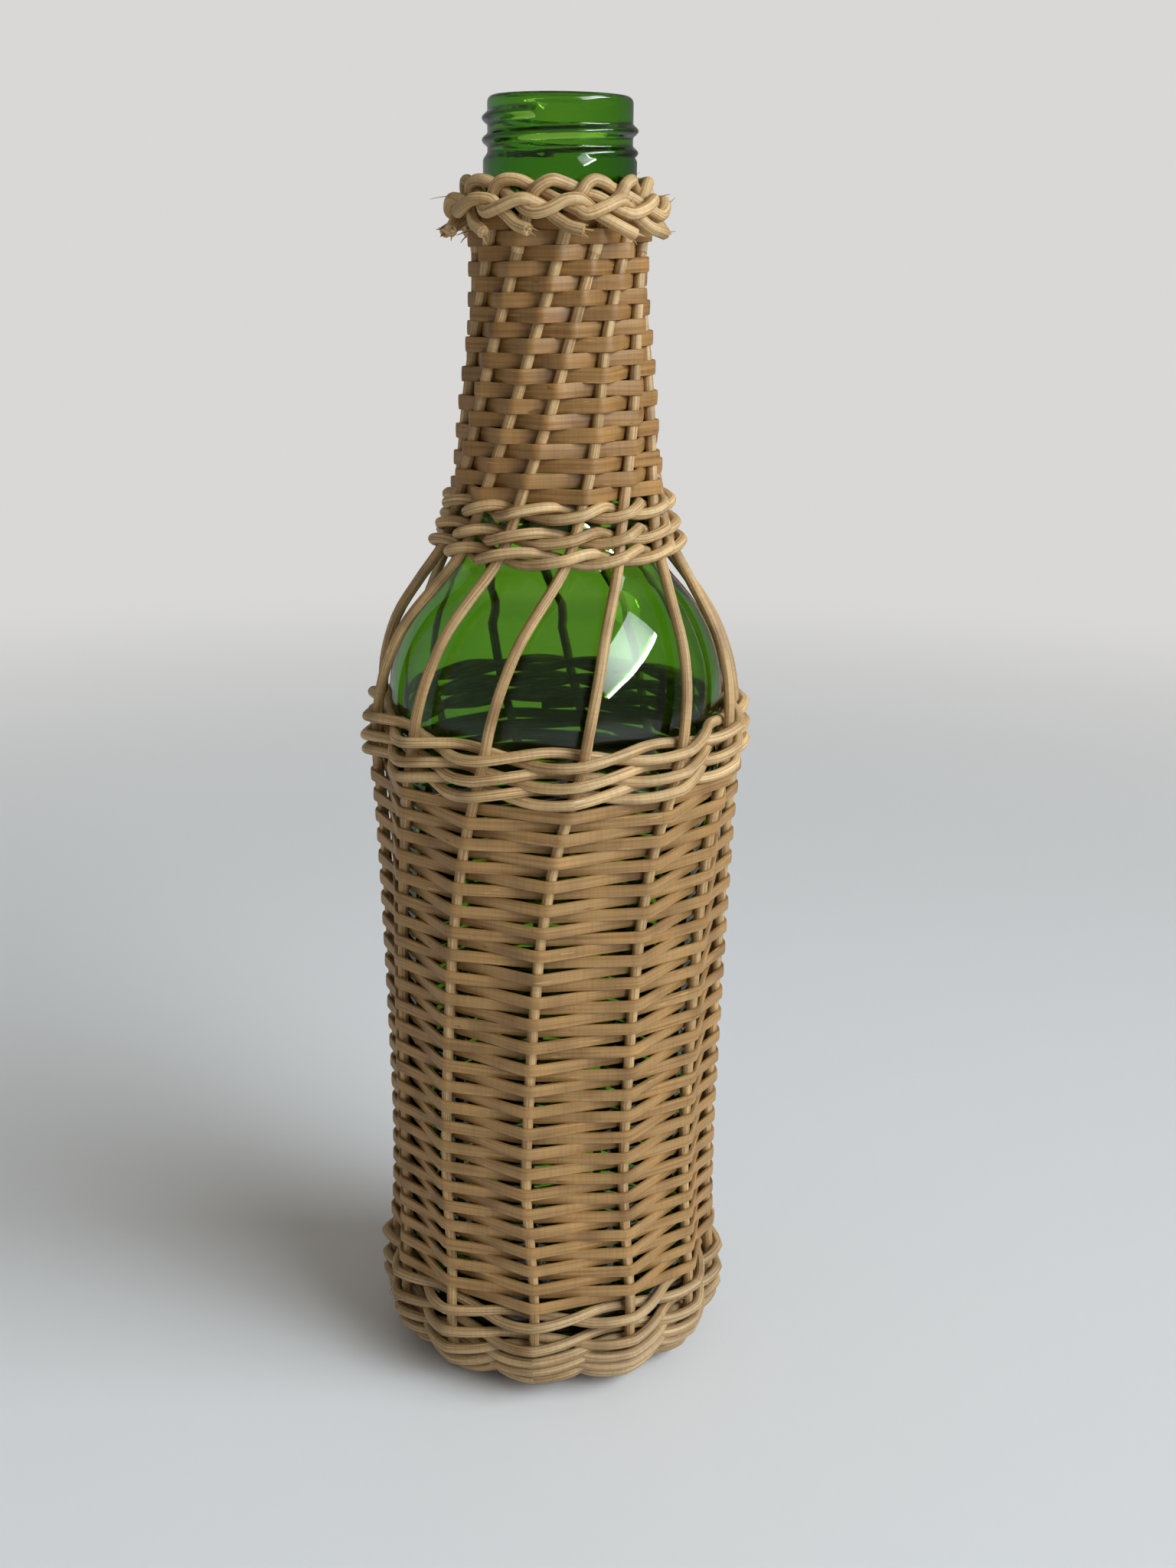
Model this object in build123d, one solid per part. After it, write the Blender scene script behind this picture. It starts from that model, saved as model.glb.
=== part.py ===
from build123d import *
import math
import os

# A screw-necked green glass bottle standing in a full wicker cover.
# Millimetres, +Z up, the floor at z = 0 and the bottle's axis on the Z axis.

# Rods and canes
stake_d = 2.7           # round uprights of the cover
strand_d = 2.5          # round core that is twined in pairs
cane_t = 0.9            # flat cane, thickness
pairing_h = 4.6         # height of a twined row where its two strands cross
heel_row_h = 3.9        # the same where the rows turn under the heel
pairing_round_share = 0.45
seat_gap = 0.2          # between the cover and the glass
row_gap = 0.3           # between two rows, one above the other
hole_gap = 0.25         # round a stake in a twined row
body_play = 0.3         # between a stake and the flat cane on the body
neck_play = 0.75        # the same on the neck, where the stakes slant more

# Glass bottle; heights are above its own base, drops are below the lip
glass_height = 316.1
heel_r = 39.7           # body radius above the heel
heel_round = 8.0
straight_height = 56.0  # the body is straight up to here, then widens
shoulder_r = 42.6       # the shoulder is part of a ball
shoulder_drop = 144.1   # to the shoulder's centre
shoulder_turn = 43.7    # degrees that the shoulder turns before the neck's sweep
neck_r = 15.9           # at the top of the neck
neck_taper = 5.6        # degrees
neck_drop = 34.6
collar_foot_drop = 27.6
collar_top_drop = 13.9  # the plain collar below the thread
collar_r = 18.25
root_r = 17.2           # screw finish, between the threads
thread_round = 1.25     # radius of the thread's rounded ridge
thread_pitch = 4.9
thread_start_depth = 4.2    # first ridge below the lip
thread_quarters = 7     # quarter turns of thread
thread_start_angle = -109.5  # degrees about Z, a little left of the front
lip_round = 1.6
wall = 3.0              # body
neck_wall = 2.2
bore_r = 13.7
bore_depth = 34.0
base_wall = 5.0
punt_depth = 5.0        # the base is pushed up in the middle
stand_width = 3.0       # flat ring that the glass stands on

# Cover
stakes = 13
body_rows = 47          # turns of flat cane on the body
neck_rows = 18
foot_rows = 5
rim_rows = 3
collar_rows = 3         # twined rows where the neck starts
foot_rise = 7.5         # upper foot row above the rounded heel
foot_pitch = 4.9
rim_drop = 4.9          # upper rim row below the ball-shaped shoulder
rim_pitch = 5.0
collar_row_rise = 1.7   # upper neck row above the hollow sweep
collar_row_pitch = 6.0
border_drop = 28.4      # lower edge of the plaited border, below the lip
border_row_h = 5.4
border_width = 8.05
stake_lean_out = 3.15   # stakes lean out past the collar to reach the border
base_hub_r = 14.0       # bore of the woven base, round the crossed sticks
stick_end_gap = 0.3
sticks_each_way = 3
turn_total = 86.0       # degrees that a stake winds from the body to the border
stake_zero_angle = -99.0     # degrees about Z of the first stake, low on the body

# Shares of turn_total, and of the stand-off from the glass, up a stake
foot_turn_share = 0.03
body_turn_shares = (0.012, 0.0, 0.013, 0.033, 0.055, 0.105)
rim_turn_shares = (0.163, 0.201)
shoulder_turn_shares = (0.225, 0.26, 0.305, 0.37)
collar_turn_shares = (0.45, 0.515, 0.56)
neck_turn_shares = (0.60, 0.68, 0.755, 0.865)
standoff_shares = (0.72, 0.66, 0.74, 1.0)

# Derived
stake_r = stake_d / 2
half_pairing = stake_r + strand_d           # from a stake's axis to the outside of a twined row
stake_floor_z = half_pairing                # stakes under the bottle lie at this height
glass_z = 2 * half_pairing + seat_gap
total_height = glass_z + glass_height
heel_center = (heel_r - heel_round, glass_z + heel_round)
stake_heel_r = heel_round + seat_gap + half_pairing
foot_stake_r = heel_r + seat_gap + half_pairing
shoulder_z = total_height - shoulder_drop
shoulder_height = glass_height - shoulder_drop
neck_z = total_height - neck_drop
foot_top = heel_center[1] + foot_rise
rim_top = shoulder_z - rim_drop
border_foot = total_height - border_drop
border_bore_r = collar_r + seat_gap + row_gap
step = 360 / stakes


def polar(r, degrees):
    """A point at radius r and an angle, as (across, up)."""
    return (r * math.cos(math.radians(degrees)), r * math.sin(math.radians(degrees)))


def shoulder_end():
    """Where the convex shoulder hands over to the neck's hollow sweep."""
    x, y = polar(shoulder_r, shoulder_turn)
    return (x, shoulder_z + y)


def sweep_arc():
    """Centre and radius of the hollow arc that joins the shoulder to the tapered neck."""
    x, y = shoulder_end()
    nx, ny = polar(1, neck_taper)
    reach = (x - neck_r) * nx + (y - neck_z) * ny
    radius = reach / (1 - math.cos(math.radians(shoulder_turn - neck_taper)))
    sx, sy = polar(radius, shoulder_turn)
    return (x + sx, y + sy), radius


def sweep_end():
    """Where the hollow arc hands over to the straight taper of the neck."""
    (cx, cy), radius = sweep_arc()
    x, y = polar(radius, neck_taper)
    return (cx - x, cy - y)


def glass_r(z):
    """Outer radius of the glass at height z, above the heel and below the collar."""
    (cx, cy), radius = sweep_arc()
    if z <= glass_z + straight_height:
        return heel_r
    if z <= shoulder_z:
        rise = (z - glass_z - straight_height) / (shoulder_height - straight_height)
        return heel_r + rise * (shoulder_r - heel_r)
    if z <= shoulder_end()[1]:
        return math.sqrt(shoulder_r ** 2 - (z - shoulder_z) ** 2)
    if z <= sweep_end()[1]:
        return cx - math.sqrt(radius ** 2 - (z - cy) ** 2)
    return neck_r + (neck_z - z) * math.tan(math.radians(neck_taper))


def revolved(edges):
    """A ring or vessel turned from an outline drawn in the XZ plane."""
    face = make_face(Plane.XZ * Curve(edges))
    return revolve(face, Axis.Z)


def arc(center, radius, start, end):
    """An arc in the outline, from one angle to another."""
    low, high = min(start, end), max(start, end)
    return CenterArc(center, radius, low, high - low)


def glass_outline():
    """Half section of the bottle: outside going up, then the inside going down."""
    center, radius = sweep_arc()
    lip_z = total_height
    collar_z = lip_z - collar_foot_drop
    collar_end = lip_z - collar_top_drop
    punt_edge = heel_r - heel_round - stand_width
    bore_end = lip_z - bore_depth
    inner_heel = max(heel_round - wall, lip_round)
    floor_z = glass_z + base_wall
    turn_in = (polar(shoulder_r - wall, shoulder_turn)[0],
               shoulder_z + polar(shoulder_r - wall, shoulder_turn)[1])
    punt_r = (punt_edge ** 2 + punt_depth ** 2) / (2 * punt_depth)
    punt_angle = 90 - math.degrees(math.asin(punt_edge / punt_r))
    neck_foot = sweep_end()
    inner_neck = (neck_foot[0] - neck_wall, neck_foot[1])
    outside = [
        arc((0, glass_z + punt_depth - punt_r), punt_r, punt_angle, 90),
        Line((punt_edge, glass_z), (heel_r - heel_round, glass_z)),
        arc(heel_center, heel_round, -90, 0),
        Line((heel_r, glass_z + heel_round), (heel_r, glass_z + straight_height)),
        Line((heel_r, glass_z + straight_height), (shoulder_r, shoulder_z)),
        arc((0, shoulder_z), shoulder_r, 0, shoulder_turn),
        arc(center, radius, 180 + neck_taper, 180 + shoulder_turn),
        Line(neck_foot, (neck_r, neck_z)),
        Line((neck_r, neck_z), (collar_r, collar_z)),
        Line((collar_r, collar_z), (collar_r, collar_end)),
        Line((collar_r, collar_end), (root_r, collar_end + (collar_r - root_r))),
        Line((root_r, collar_end + (collar_r - root_r)), (root_r, lip_z - lip_round)),
        arc((root_r - lip_round, lip_z - lip_round), lip_round, 0, 90),
        Line((root_r - lip_round, lip_z), (bore_r, lip_z)),
    ]
    inside = [
        Line((bore_r, lip_z), (bore_r, bore_end)),
        Line((bore_r, bore_end), inner_neck),
        Line(inner_neck, turn_in),
        arc((0, shoulder_z), shoulder_r - wall, 0, shoulder_turn),
        Line((shoulder_r - wall, shoulder_z), (heel_r - wall, glass_z + straight_height)),
        Line((heel_r - wall, glass_z + straight_height), (heel_r - wall, floor_z + inner_heel)),
        arc((heel_r - wall - inner_heel, floor_z + inner_heel), inner_heel, -90, 0),
        Line((heel_r - wall - inner_heel, floor_z), (punt_edge, floor_z)),
        arc((0, floor_z + punt_depth - punt_r), punt_r, punt_angle, 90),
        Line((0, floor_z + punt_depth), (0, glass_z + punt_depth)),
    ]
    return outside + inside


def thread_point(quarter):
    """A point of the thread's ridge line, counted in quarter turns down from its start."""
    x, y = polar(root_r, thread_start_angle - 90 * quarter)
    z = total_height - thread_start_depth - thread_pitch * quarter / 4
    return Vector(x, y, z)


def thread_path():
    """The ridge line as tangent arcs of a quarter turn each."""
    fall = thread_pitch / (2 * math.pi * root_r)
    start = math.radians(thread_start_angle)
    tangent = Vector(math.sin(start), -math.cos(start), -fall)
    edges = []
    for quarter in range(thread_quarters):
        edge = TangentArc(thread_point(quarter), thread_point(quarter + 1), tangent=tangent)
        tangent = edge % 1
        edges.append(edge)
    return Wire(edges)


def glass_bottle():
    """The blown bottle with its screw thread."""
    path = thread_path()
    ridge = sweep(Plane(path @ 0, z_dir=path % 0) * Circle(thread_round), path=path)
    ridge += [Pos(*(path @ end)) * Sphere(thread_round) for end in (0, 1)]
    return revolved(glass_outline()) + ridge


def stake_station(r, z, share):
    """One point of a stake's axis: radius, height and its share of the winding."""
    angle = math.radians(stake_zero_angle + turn_total * share)
    return Vector(r * math.cos(angle), r * math.sin(angle), z)


def collar_row_top():
    return sweep_end()[1] + collar_row_rise


def body_low():
    return foot_top + pairing_h / 2 + row_gap


def body_high():
    return rim_top - rim_pitch * (rim_rows - 1) - pairing_h / 2 - row_gap


def neck_low():
    return collar_row_top() + pairing_h / 2 + row_gap


def neck_high():
    return border_foot - row_gap


def body_stake_r(z):
    return glass_r(z) + seat_gap + cane_t + body_play + stake_r


def neck_stake_r(z):
    return glass_r(z) + seat_gap + cane_t + neck_play + stake_r


def twined_stake_r(z):
    """A twined row stands a little further out where the glass slopes."""
    slope = (glass_r(z - pairing_h / 2) - glass_r(z)) / (pairing_h / 2)
    return glass_r(z) + (seat_gap + half_pairing) * math.sqrt(1 + slope ** 2)


def stake_stations():
    """The axis of the first stake, from under the bottle to the border."""
    low, high = body_low(), body_high()
    rim_low = rim_top - rim_pitch * (rim_rows - 1)
    collar_low = collar_row_top() - collar_row_pitch * (collar_rows - 1)
    points = [stake_station(base_hub_r + stick_end_gap, stake_floor_z, foot_turn_share),
              stake_station(foot_stake_r, stake_floor_z, foot_turn_share),
              stake_station(foot_stake_r, foot_top, foot_turn_share)]
    for index, share in enumerate(body_turn_shares):
        z = low + (high - low) * (index + 0.5) / len(body_turn_shares)
        points.append(stake_station(body_stake_r(z), z, share))
    for z, share in zip((rim_low, rim_top), rim_turn_shares):
        points.append(stake_station(twined_stake_r(z), z, share))
    for index, share in enumerate(shoulder_turn_shares):
        z = rim_top + (collar_low - rim_top) * (index + 1) / (len(shoulder_turn_shares) + 1)
        r = glass_r(z) + seat_gap + stake_r + strand_d * standoff_shares[index]
        points.append(stake_station(r, z, share))
    for index, share in enumerate(collar_turn_shares):
        z = collar_low + (collar_row_top() - collar_low) * index / (len(collar_turn_shares) - 1)
        points.append(stake_station(twined_stake_r(z), z, share))
    for index, share in enumerate(neck_turn_shares):
        z = neck_low() + (neck_z - neck_low()) * (index + 0.5) / len(neck_turn_shares)
        points.append(stake_station(neck_stake_r(z), z, share))
    points.append(stake_station(collar_r + stake_lean_out, border_foot - row_gap, 1.0))
    return points


def stake_path():
    """Straight runs joined by tangent arcs, each as large as its two runs allow."""
    points = stake_stations()
    radii = []
    for a, b, c in zip(points, points[1:], points[2:]):
        turn = math.radians((b - a).get_angle(c - b))
        radii.append(0.45 * min((b - a).length, (c - b).length) / math.tan(turn / 2))
    radii[0] = stake_heel_r
    return FilletPolyline(*points, radius=radii)


def rod(path, radius):
    """A round rod along a path."""
    return sweep(Plane(path @ 0, z_dir=path % 0) * Circle(radius), path=path)


def place(index):
    """The turn that carries the first stake to another one's place."""
    return Rot(0, 0, step * index)


def share_at(path, z):
    """How far along the stake's axis it passes height z, above the foot."""
    low, high = 0.1, 1.0
    for _ in range(30):
        middle = (low + high) / 2
        if (path @ middle).Z < z:
            low = middle
        else:
            high = middle
    return low


def stake_axis_at(path, z):
    """Radius and angle of the stake's axis where it passes height z."""
    point = path @ share_at(path, z)
    return math.hypot(point.X, point.Y), math.degrees(math.atan2(point.Y, point.X))


def band_loop(radius, angle, play, outside_first, side):
    """One edge of a woven band: it passes outside one stake and inside the next."""
    reach = stake_r + play + cane_t / 2
    points = []
    for index in range(stakes):
        out = (index % 2 == 0) == outside_first
        next_out = ((index + 1) % stakes % 2 == 0) == outside_first
        here = radius + (reach if out else -reach)
        between = radius
        if out == next_out:
            between = here if out else here + reach / 4
        points.append(polar(here + side * cane_t / 2, angle + step * index))
        points.append(polar(between + side * cane_t / 2, angle + step * (index + 0.5)))
    return Wire(Polyline(*points, close=True).edges())


def woven_band(path, z, height, play, outside_first):
    """One turn of flat cane, closed on itself, in and out of the stakes."""
    radius, angle = stake_axis_at(path, z)
    outer = Face(band_loop(radius, angle, play, outside_first, 1))
    inner = Face(band_loop(radius, angle, play, outside_first, -1))
    return Pos(0, 0, z - height / 2) * extrude(outer - inner, height)


def woven_tube(path, low, high, rows, play):
    """A stack of woven bands between two heights."""
    pitch = (high - low) / rows
    bands = []
    for row in range(rows):
        z = low + pitch * (row + 0.5)
        bands.append(woven_band(path, z, pitch - row_gap, play, row % 2 == 0))
    return Compound(children=bands)


def stake_holes(axis):
    """Short straight holes for every stake; axis is the first one's place and direction."""
    bend = stake_heel_r - math.sqrt(stake_heel_r ** 2 - (pairing_h / 2) ** 2)
    hole = axis * Cylinder(stake_r + hole_gap + bend, 2 * pairing_h)
    return [place(index) * hole for index in range(stakes)]


def twined_row(center, tilt, axis):
    """A ring of twined strands round all the stakes, its section across the stakes."""
    height = heel_row_h if tilt else pairing_h
    section = RectangleRounded(2 * half_pairing, height, height * pairing_round_share)
    section = Plane.XZ * (Pos(*center) * (Rot(0, 0, tilt) * section))
    return revolve(section, Axis.Z) - stake_holes(axis)


def level_row(path, z):
    """A twined row that lies level round the body or the neck."""
    share = share_at(path, z)
    axis = Plane(path @ share, z_dir=path % share)
    return twined_row((stake_axis_at(path, z)[0], z), 0, axis.location)


def foot_axis(center, tilt):
    """Where the first stake passes through the foot, and which way it points."""
    turn = stake_zero_angle + turn_total * foot_turn_share
    return Rot(0, 0, turn) * Pos(center[0], 0, center[1]) * Rot(0, -tilt, 0)


def foot_place(distance):
    """Centre and tilt of a foot row, measured down the stake from the upper one."""
    straight = foot_top - heel_center[1]
    if distance <= straight:
        return (foot_stake_r, foot_top - distance), 0
    angle = math.degrees((distance - straight) / stake_heel_r)
    x, y = polar(stake_heel_r, -angle)
    return (heel_center[0] + x, heel_center[1] + y), -angle


def foot_row(index):
    """A twined row of the foot; the lower ones follow the heel round."""
    center, tilt = foot_place(foot_pitch * index)
    return twined_row(center, tilt, foot_axis(center, tilt))


def woven_base():
    """The flat woven ring under the bottle, from the crossed sticks to the last foot row."""
    _, tilt = foot_place(foot_pitch * (foot_rows - 1))
    inner_r = heel_round + seat_gap
    edge = -tilt + math.degrees(math.asin((heel_row_h / 2 + row_gap) / inner_r))
    outer_r = stake_heel_r + half_pairing
    near = polar(inner_r, -edge)
    far = polar(outer_r, -edge)
    cx, cy = heel_center
    outline = [
        arc(heel_center, inner_r, -90, -edge),
        Line((cx + near[0], cy + near[1]), (cx + far[0], cy + far[1])),
        arc(heel_center, outer_r, -90, -edge),
        Line((cx, cy - outer_r), (base_hub_r, cy - outer_r)),
        Line((base_hub_r, cy - outer_r), (base_hub_r, cy - inner_r)),
        Line((base_hub_r, cy - inner_r), (cx, cy - inner_r)),
    ]
    bend = polar(stake_heel_r, -(edge + 90) / 2)
    bend_axis = foot_axis((cx + bend[0], cy + bend[1]), -(edge + 90) / 2)
    flat_length = cx - base_hub_r
    flat_axis = foot_axis((base_hub_r + flat_length / 2, stake_floor_z), -90)
    flat_hole = flat_axis * Cylinder(stake_r + hole_gap, flat_length + 2 * row_gap)
    base = revolved(outline) - [place(index) * flat_hole for index in range(stakes)]
    return base - stake_holes(bend_axis)


def crossed_sticks():
    """Three base sticks laid over three others, in the middle of the base."""
    pitch = stake_d + seat_gap
    sticks = []
    for layer in range(2):
        z = stake_floor_z + (layer - 0.5) * pitch
        for index in range(sticks_each_way):
            offset = (index - (sticks_each_way - 1) / 2) * pitch
            half = math.sqrt((base_hub_r - stick_end_gap) ** 2 - (abs(offset) + stake_r) ** 2)
            stick = Rot(0, 90, 0) * Cylinder(stake_r, 2 * half)
            sticks.append(Rot(0, 0, 90 * layer) * Pos(0, offset, z) * stick)
    return Compound(children=sticks)


def border_row(index):
    """One row of the plaited border, a rounded ring."""
    z = border_foot + border_row_h * (index + 0.5)
    section = RectangleRounded(border_width, border_row_h - row_gap, border_row_h / 3)
    return revolve(Plane.XZ * (Pos(border_bore_r + border_width / 2, z) * section), Axis.Z)


def build():
    """Every piece of the bottle, by name."""
    path = stake_path()
    stake = rod(path, stake_r)
    nodes = {"glass_bottle": glass_bottle()}
    for index in range(stakes):
        nodes[f"stake_{index + 1:02d}"] = place(index) * stake
    nodes["body_weave"] = woven_tube(path, body_low(), body_high(), body_rows, body_play)
    nodes["neck_weave"] = woven_tube(path, neck_low(), neck_high(), neck_rows, neck_play)
    for row in range(foot_rows):
        nodes[f"foot_pairing_{row + 1}"] = foot_row(row)
    for row in range(rim_rows):
        nodes[f"rim_pairing_{row + 1}"] = level_row(path, rim_top - rim_pitch * row)
    for row in range(collar_rows):
        z = collar_row_top() - collar_row_pitch * row
        nodes[f"neck_pairing_{row + 1}"] = level_row(path, z)
    nodes["border_lower"] = border_row(0)
    nodes["border_upper"] = border_row(1)
    nodes["woven_base"] = woven_base()
    nodes["base_sticks"] = crossed_sticks()
    return nodes


os.makedirs("parts", exist_ok=True)
for name, shape in build().items():
    export_step(shape, f"parts/{name}.step")
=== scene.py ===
import math
import random

import bmesh
import bpy
from bpy.props import FloatProperty, FloatVectorProperty, IntProperty, PointerProperty
from mathutils import Matrix, Quaternion, Vector


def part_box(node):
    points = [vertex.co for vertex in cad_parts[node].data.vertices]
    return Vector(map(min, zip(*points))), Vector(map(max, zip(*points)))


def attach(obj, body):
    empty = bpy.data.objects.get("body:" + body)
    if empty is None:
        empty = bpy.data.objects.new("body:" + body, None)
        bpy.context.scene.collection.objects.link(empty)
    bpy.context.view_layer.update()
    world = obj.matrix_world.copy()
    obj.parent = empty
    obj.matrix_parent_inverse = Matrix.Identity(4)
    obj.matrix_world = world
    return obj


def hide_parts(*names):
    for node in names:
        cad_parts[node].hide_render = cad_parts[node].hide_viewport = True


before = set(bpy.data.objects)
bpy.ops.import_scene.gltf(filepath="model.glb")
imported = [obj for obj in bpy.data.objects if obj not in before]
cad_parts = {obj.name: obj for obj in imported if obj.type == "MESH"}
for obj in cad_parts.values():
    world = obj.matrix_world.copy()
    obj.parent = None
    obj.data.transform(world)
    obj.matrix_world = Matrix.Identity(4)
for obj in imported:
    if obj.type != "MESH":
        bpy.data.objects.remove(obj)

bl_info = {
    "name": "Wicker Bottle",
    "version": (1, 0, 0),
    "blender": (4, 5, 0),
    "location": "3D View > Sidebar > Wicker Bottle",
    "description": "A green glass bottle in a woven rattan cover",
    "category": "Object",
}

# A millimetre in metres, and a metre in millimetres
MM, METRE = 0.001, 1000
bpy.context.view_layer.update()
# Uprights of the cover, an odd number for one running cane, and the angle between two of them
STAKES = 13
STEP = 360 / STAKES


# Settings

def colour_setting(name, description, default):
    return FloatVectorProperty(name=name, description=description, subtype="COLOR", size=3,
                               min=0, max=1, default=default)


def length_setting(name, description, default):
    return FloatProperty(name=name, description=description, subtype="DISTANCE", unit="LENGTH",
                         default=default)


class GlassSettings(bpy.types.PropertyGroup):
    """Colour of the glass, and how finely the bottle is turned."""
    tint: colour_setting("Tint", "Colour of the glass", (0.93, 0.98, 0.86))
    body_colour: colour_setting("Depth colour", "Colour that thick glass takes", (0.47, 0.72, 0.005))
    density: FloatProperty(name="Density", description="How fast thick glass darkens",
                           min=0, default=650)
    segments: IntProperty(name="Segments", description="Steps round the bottle", min=32, default=192)


class CaneSettings(bpy.types.PropertyGroup):
    """Sizes and colours of the rattan."""
    stake: length_setting("Stake", "Diameter of the uprights", 2.7 * MM)
    strand: length_setting("Strand", "Diameter of the twined round core", 2.7 * MM)
    body_width: length_setting("Body cane width", "Width of the flat cane on the body", 3.0 * MM)
    neck_width: length_setting("Neck cane width", "Width of the flat cane on the neck", 3.6 * MM)
    thickness: length_setting("Cane thickness", "Thickness of the flat cane", 0.9 * MM)
    core_colour: colour_setting("Round core", "Colour of the round core", (0.63, 0.436, 0.212))
    cane_colour: colour_setting("Flat cane", "Colour of the flat cane", (0.388, 0.223, 0.0765))


class WeaveSettings(bpy.types.PropertyGroup):
    """How the cover is woven."""
    body_rows: IntProperty(name="Body rows", description="Turns of cane on the body",
                           min=1, default=47)
    neck_rows: IntProperty(name="Neck rows", description="Turns of cane on the neck",
                           min=1, default=19)


class StageSettings(bpy.types.PropertyGroup):
    """Floor, light and camera."""
    floor_colour: colour_setting("Floor", "Colour of the floor and backdrop", (0.83, 0.84, 0.855))
    key_power: FloatProperty(name="Key light", description="Power of the window light",
                             unit="POWER", min=0, default=13.0)
    sky: FloatProperty(name="Sky", description="Strength of the light from all round",
                       min=0, default=0.28)


def settings(name):
    """One group of the settings, kept on the scene."""
    return getattr(bpy.context.scene, "wicker_" + name)


# Geometry helpers

class Track:
    """Values that change smoothly with one parameter, through given stations."""

    def __init__(self, stations):
        self.keys = [s[0] for s in stations]
        self.values = [s[1:] for s in stations]
        self.slopes = []
        last = len(stations) - 1
        for i in range(last + 1):
            a, b = max(0, i - 1), min(last, i + 1)
            run = self.keys[b] - self.keys[a]
            self.slopes.append([(q - p) / run for p, q in zip(self.values[a], self.values[b])])

    def __call__(self, x):
        x = min(max(x, self.keys[0]), self.keys[-1])
        i = max(k for k in range(len(self.keys) - 1) if self.keys[k] <= x)
        run = self.keys[i + 1] - self.keys[i]
        t = (x - self.keys[i]) / run
        h = (2*t**3 - 3*t**2 + 1, (t**3 - 2*t**2 + t) * run, 3*t**2 - 2*t**3, (t**3 - t**2) * run)
        rows = zip(self.values[i], self.slopes[i], self.values[i + 1], self.slopes[i + 1])
        out = [sum(w * v for w, v in zip(h, row)) for row in rows]
        return out[0] if len(out) == 1 else out


def around(radius, degrees, z):
    """A point at a radius (mm), an angle right of the front, and a height (mm), in metres."""
    a = math.radians(degrees - 90)
    return Vector((radius * math.cos(a), radius * math.sin(a), z)) * MM


def outward(point):
    """The level direction from the bottle's axis to a point."""
    return Vector((point.x, point.y, 0)).normalized()


def curve_through(points, per_span):
    """A smooth line through points, Catmull-Rom."""
    out = []
    last = len(points) - 1
    for i in range(last):
        p0, p1, p2, p3 = points[max(0, i - 1)], points[i], points[i + 1], points[min(last, i + 2)]
        for k in range(per_span):
            t = k / per_span
            out.append(0.5 * ((2 * p1) + (p2 - p0) * t + (2*p0 - 5*p1 + 4*p2 - p3) * t*t
                              + (3*p1 - p0 - 3*p2 + p3) * t**3))
    out.append(points[last].copy())
    return out


def arc_points(cx, cz, radius, start, end, count):
    """Points on an arc, from one angle to another (degrees)."""
    return [(cx + radius * math.cos(math.radians(a)), cz + radius * math.sin(math.radians(a)))
            for a in (start + (end - start) * i / count for i in range(count + 1))]


def line_points(a, b, count):
    """Even points on a straight line, both ends with it."""
    return [(a[0] + (b[0] - a[0]) * i / count, a[1] + (b[1] - a[1]) * i / count)
            for i in range(count + 1)]


def round_section(diameter, sides):
    """Section of round core."""
    r = diameter / 2
    return [(r * math.cos(math.tau * i / sides), r * math.sin(math.tau * i / sides))
            for i in range(sides)]


def cane_section(width, thickness):
    """Section of flat cane, its outer face a little crowned."""
    w, t = width / 2, thickness / 2
    half = [(w, -t * 0.45), (w, t * 0.35), (w * 0.93, t * 0.85), (w * 0.55, t * 0.99), (0, t * 1.05)]
    top = half + [(-a, b) for a, b in reversed(half[:-1])]
    return top + [(-w * 0.93, -t * 0.95), (w * 0.93, -t * 0.95)]


def strand_mesh(name, runs):
    """Sweeps a section along each run, and keeps in "grain" where on the strand each corner lies.

    A run has points, facing (the outward way at each) and section, and may have closed, rolls
    (radians), scales, and shift, which is added to the distance along it.
    """
    mesh = bpy.data.meshes.new(name)
    verts, faces, grain = [], [], []
    for run in runs:
        points, facing, section = run["points"], run["facing"], run["section"]
        closed = run.get("closed", False)
        rolls = run.get("rolls") or [0.0] * len(points)
        scales = run.get("scales") or [1.0] * len(points)
        shift = run.get("shift", 0.0)
        count, sides = len(points), len(section)
        first = len(verts)
        length, lengths = 0.0, []
        for i, p in enumerate(points):
            before = points[i - 1] if i or closed else points[i]
            after = points[(i + 1) % count] if i < count - 1 or closed else points[i]
            tangent = (after - before).normalized()
            if i:
                length += (p - points[i - 1]).length
            lengths.append(length)
            n = facing[i] - tangent * facing[i].dot(tangent)
            n.normalize()
            w = n.cross(tangent)
            c, s = math.cos(rolls[i]), math.sin(rolls[i])
            n, w = n * c + w * s, w * c - n * s
            for a, b in section:
                verts.append(p + w * (a * scales[i]) + n * (b * scales[i]))
        end_length = length + (points[0] - points[-1]).length
        for i in range(count if closed else count - 1):
            j = (i + 1) % count
            s0 = lengths[i]
            s1 = end_length if j == 0 else lengths[j]
            for k in range(sides):
                m = (k + 1) % sides
                faces.append((first + i * sides + k, first + j * sides + k,
                              first + j * sides + m, first + i * sides + m))
                for s, q in ((s0, k), (s1, k), (s1, m), (s0, m)):
                    grain.append((s + shift, section[q][0], section[q][1]))
        if not closed:
            for i, flip in ((0, False), (count - 1, True)):
                ring = [first + i * sides + k for k in range(sides)]
                order = list(range(sides))
                if flip:
                    ring, order = ring[::-1], order[::-1]
                faces.append(ring)
                grain += [(lengths[i] + shift, section[q][0], section[q][1]) for q in order]
    mesh.from_pydata(verts, [], faces)
    data = mesh.attributes.new("grain", "FLOAT_VECTOR", "CORNER")
    data.data.foreach_set("vector", [x for g in grain for x in g])
    mesh.update()
    return mesh


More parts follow.
